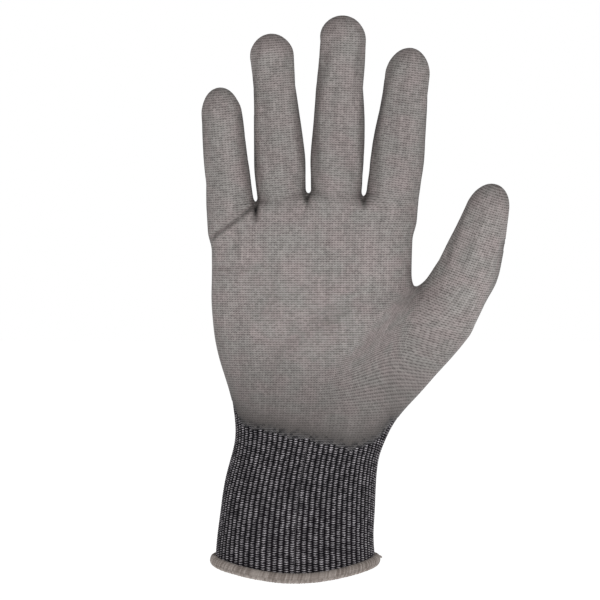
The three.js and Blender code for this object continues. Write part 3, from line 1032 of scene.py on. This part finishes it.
def tube_points(z):
    """Points of the tube's surface: z has a row for each ring and a column for each step."""
    at = np.clip((z - ring_z[0]) / RING_SPACING, 0, len(ring_z) - 1.001)
    low = at.astype(int)
    share = (at - low)[..., None]
    column = np.broadcast_to(np.arange(RING), z.shape)
    p = rings[low, column] * (1 - share) + rings[low + 1, column] * share
    p[..., 2] = z
    return p


def tube_normals(p):
    round_step = np.roll(p, -1, axis=1) - np.roll(p, 1, axis=1)
    up_step = np.gradient(p, axis=0)
    n = np.cross(round_step, up_step)
    return n / np.linalg.norm(n, axis=2, keepdims=True)


def grid_quads(rows, first):
    """Quads of a closed tube whose vertices are numbered row by row from first."""
    j = np.arange(RING)
    k = (j + 1) % RING
    i = np.arange(rows - 1)[:, None]
    a, b = first + i * RING + j, first + i * RING + k
    return np.stack([a, b, b + RING, a + RING], axis=2).reshape(-1, 4)


turn_of_step = np.arange(RING) / RING * 2 * math.pi
hem_of_step = hem_height(turn_of_step)


def ribbed_tube(name, low, high, rows, fade_top):
    """A closed ribbed shell between two heights, each given for every step round."""
    share = np.linspace(0, 1, rows)[:, None]
    z = low + (high - low) * share
    base = tube_points(z)
    normal = tube_normals(base)
    u = np.broadcast_to(np.arange(RING) / STEPS_PER_RIB, z.shape)
    rib = 0.5 - 0.5 * np.cos(2 * math.pi * u)
    course = 0.5 + 0.5 * np.cos(2 * math.pi * z / COURSE)
    relief = RIB_RELIEF * (rib - 0.5) + COURSE_RELIEF * course * rib
    if fade_top:
        fade = smoothstep(z, *TUBE_FADE)
        relief = relief * fade - TUBE_SINK * (1 - fade)
    outside = base + relief[..., None] * normal
    every_inside = base - KNIT_WALL * normal
    inside = every_inside[:: max(rows // INNER_ROWS, 1)]
    if not np.allclose(inside[-1], every_inside[-1]):
        inside = np.concatenate([inside, every_inside[-1:]])
    vertices = np.concatenate([outside.reshape(-1, 3), inside.reshape(-1, 3)])
    first = rows * RING
    inner_rows = len(inside)
    j = np.arange(RING)
    k = (j + 1) % RING
    last, last_in = (rows - 1) * RING, first + (inner_rows - 1) * RING
    bottom = np.stack([j, first + j, first + k, k], axis=1)
    top = np.stack([last + k, last_in + k, last_in + j, last + j], axis=1)
    faces = np.concatenate([
        grid_quads(rows, 0), grid_quads(inner_rows, first)[:, ::-1], bottom, top
    ]).tolist()
    inner_u = np.broadcast_to(np.arange(RING) / STEPS_PER_RIB, inside.shape[:2])
    place = np.concatenate([
        np.stack([u, z, 0 * z], axis=2).reshape(-1, 3),
        np.stack([inner_u, inside[..., 2], 0 * inner_u], axis=2).reshape(-1, 3),
    ])
    return make_mesh(name, vertices, faces, None, place, rib_knit)


cuff_low = hem_of_step + CUFF_ABOVE_HEM
cuff_rows = int((CUFF_SPLIT - HEM["front"]) / COURSE * ROWS_PER_COURSE)
cuff = ribbed_tube("cuff_ribbing", cuff_low, np.full(RING, CUFF_SPLIT), cuff_rows, False)
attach(cuff, "cuff")
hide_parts("cuff_knit")
wrist_rows = int((TUBE_TOP - CUFF_SPLIT) / COURSE * ROWS_PER_COURSE)
wrist = ribbed_tube(
    "wrist_ribbing", np.full(RING, CUFF_SPLIT), np.full(RING, TUBE_TOP), wrist_rows, True
)
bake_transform(wrist)
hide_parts("wrist_knit", "cuff_knit")

# ---------------------------------------------------------------- hem

hem_path = tube_points(np.maximum(hem_of_step, 0)[None, :])[0]
hem_path[:, 2] = hem_of_step
hem_out = unit(tube_normals(tube_points(np.stack([hem_of_step, hem_of_step + 1])))[0] * (1, 1, 0))
hem_path += hem_out * HEM_FLARE


def hem_frame(turn_share):
    """Middle and outward direction of the hem at a share of the way round."""
    at = (turn_share % 1.0) * RING
    low = np.floor(at).astype(int) % RING
    high = (low + 1) % RING
    share = (at - np.floor(at))[..., None]
    middle = hem_path[low] * (1 - share) + hem_path[high] * share
    out = hem_out[low] * (1 - share) + hem_out[high] * share
    return middle, out


def tube_faces(rings, sides, closed):
    """Quads between rings of vertices, and from the last ring to the first where closed."""
    faces = []
    for i in range(rings if closed else rings - 1):
        for j in range(sides):
            k, m = (j + 1) % sides, (i + 1) % rings
            faces.append([i * sides + j, m * sides + j, m * sides + k, i * sides + k])
    return faces


def tube_along(path, radius, sides, closed, aside):
    """A round tube along points, closed on itself or capped. aside crosses the path."""
    n = len(path)
    ahead = np.roll(path, -1, axis=0) - np.roll(path, 1, axis=0)
    if not closed:
        ahead[0], ahead[-1] = path[1] - path[0], path[-1] - path[-2]
    ahead = unit(ahead)
    side = unit(np.cross(ahead, aside))
    up = np.cross(side, ahead)
    turn = np.arange(sides) / sides * 2 * math.pi
    ring = (
        np.cos(turn)[None, :, None] * side[:, None] + np.sin(turn)[None, :, None] * up[:, None]
    )
    vertices = (path[:, None] + radius * ring).reshape(-1, 3)
    faces = tube_faces(n, sides, closed)
    if not closed:
        faces.append(list(range(sides)))
        faces.append([(n - 1) * sides + j for j in range(sides)][::-1])
    return vertices, faces


def hem_strands():
    """Turns of overlock thread round the hem, each a little uneven."""
    rng = np.random.default_rng(7)
    roll_out, roll_up = HEM["roll"]
    vertices, faces, places, first = [], [], [], 0
    corner = np.arange(STRAND_STEPS) / STRAND_STEPS * 2 * math.pi
    for wrap in range(HEM_WRAPS):
        jitter = rng.normal(0, WRAP_UNEVEN)
        lean = WRAP_LEAN + rng.normal(0, WRAP_UNEVEN)
        puff = 1.0 + rng.normal(0, WRAP_PUFF)
        share = (wrap + jitter + lean * np.sin(corner)) / HEM_WRAPS
        middle, out = hem_frame(share)
        reach = (roll_out * puff - THREAD_RADIUS) * np.cos(corner)
        rise = (roll_up * puff - THREAD_RADIUS) * np.sin(corner)
        path = middle + out * reach[:, None]
        path[:, 2] += rise
        aside = np.cross(out[0], (0, 0, 1))
        v, f = tube_along(path, THREAD_RADIUS, STRAND_SIDES, True, aside)
        vertices.append(v)
        faces += [[first + i for i in face] for face in f]
        run = np.repeat(np.arange(STRAND_STEPS) * 1.0, STRAND_SIDES)
        places.append(np.stack([np.full(len(v), wrap + 0.5), run, 0 * run], axis=1))
        first += len(v)
    return make_mesh(
        "hem_strands",
        np.concatenate(vertices),
        faces,
        None,
        np.concatenate(places),
        overlock_thread,
    )


def hem_core_ring():
    """The roll inside the turns of thread."""
    turn = np.arange(CORE_SIDES) / CORE_SIDES * 2 * math.pi
    roll_out, roll_up = (size - CORE_SINK for size in HEM["roll"])
    middle, out = hem_path[::CORE_STEP], hem_out[::CORE_STEP]
    ring = middle[:, None] + out[:, None] * (roll_out * np.cos(turn))[None, :, None]
    ring[..., 2] += roll_up * np.sin(turn)
    faces = tube_faces(len(middle), CORE_SIDES, True)
    return make_mesh("hem_core", ring.reshape(-1, 3), faces, None, None, hem_core)


def hem_tail():
    """The short end of the overlock thread, at the thumb side."""
    middle, _ = hem_frame(np.array([TAIL_AT]))
    start = middle[0] + TAIL_START
    bend = range(len(TAIL_BENDS))
    share = np.linspace(0, bend[-1], TAIL_STEPS)
    path = np.stack([np.interp(share, bend, column) for column in TAIL_BENDS.T], axis=1)
    v, f = tube_along(start + path, THREAD_RADIUS, TAIL_SIDES, False, (0, 1, 0))
    run = np.repeat(share * 2, TAIL_SIDES)
    place = np.stack([np.full(len(v), 0.5), run, 0 * run], axis=1)
    return make_mesh("hem_thread_end", v, f, None, place, overlock_thread)


strands = hem_strands()
core = hem_core_ring()
tail = hem_tail()
for piece in (strands, core, tail):
    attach(piece, "cuff")
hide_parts("hem_overlock")
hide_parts("hem_overlock")

# ---------------------------------------------------------------- stage, light, camera

# From here on lengths are in metres.
FLOOR_Z = -0.055
FLOOR_HALF = 4.0
FLOOR_GLOW = 0.76
CENTRE = np.array([2.2, 0.0, 124.5]) * MM
FRAME_WIDTH = 267.0 * MM
LENS = 180.0
SENSOR = 36.0
ELEVATION = 1.5
WORLD_LIGHT = 0.28
KEY_LIGHT = dict(place=(0.45, -1.0, 0.6), size=0.5, watts=4.3)
FILL_LIGHT = dict(place=(-0.6, -0.8, 0.3), size=0.6, watts=0.8)


def make_floor():
    mesh = bpy.data.meshes.new("floor")
    signs = ((-1, -1), (1, -1), (1, 1), (-1, 1))
    corners = [(x * FLOOR_HALF, y * FLOOR_HALF, FLOOR_Z) for x, y in signs]
    mesh.from_pydata(corners, [], [(0, 1, 2, 3)])
    floor = bpy.data.objects.new("floor", mesh)
    bpy.context.scene.collection.objects.link(floor)
    m = Nodes("floor_white")
    m.shader.inputs["Base Color"].default_value = colour(0.95, 0.95, 0.95)
    m.shader.inputs["Roughness"].default_value = 1.0
    m.shader.inputs["Specular IOR Level"].default_value = 0.0
    m.shader.inputs["Emission Color"].default_value = colour(1.0, 1.0, 1.0)
    m.shader.inputs["Emission Strength"].default_value = FLOOR_GLOW
    mesh.materials.append(m.material)


def area_light(name, place, size, watts):
    data = bpy.data.lights.new(name, "AREA")
    data.shape = "DISK"
    data.size = size
    data.energy = watts
    light = bpy.data.objects.new(name, data)
    bpy.context.scene.collection.objects.link(light)
    light.location = place
    direction = Vector(CENTRE) - light.location
    light.rotation_euler = direction.to_track_quat("-Z", "Y").to_euler()


def make_camera():
    data = bpy.data.cameras.new("camera")
    data.lens = LENS
    data.sensor_width = SENSOR
    camera = bpy.data.objects.new("camera", data)
    bpy.context.scene.collection.objects.link(camera)
    distance = FRAME_WIDTH / SENSOR * LENS
    tilt = math.radians(ELEVATION)
    camera.location = CENTRE + distance * np.array([0, -math.cos(tilt), math.sin(tilt)])
    camera.rotation_euler = (math.pi / 2 - tilt, 0, 0)
    bpy.context.scene.camera = camera


def make_world():
    """White where the camera sees it, and dimmer as a light."""
    world = bpy.data.worlds.new("world")
    bpy.context.scene.world = world
    world.use_nodes = True
    background = world.node_tree.nodes["Background"]
    background.inputs["Color"].default_value = colour(1.0, 1.0, 1.0)
    seen = world.node_tree.nodes.new("ShaderNodeLightPath").outputs["Is Camera Ray"]
    strength = world.node_tree.nodes.new("ShaderNodeMapRange")
    strength.inputs["To Min"].default_value = WORLD_LIGHT
    strength.inputs["To Max"].default_value = 1.0
    world.node_tree.links.new(seen, strength.inputs["Value"])
    world.node_tree.links.new(strength.outputs[0], background.inputs["Strength"])


make_world()
bpy.context.scene.view_settings.view_transform = "Standard"
make_floor()
area_light("key", **KEY_LIGHT)
area_light("fill", **FILL_LIGHT)
make_camera()
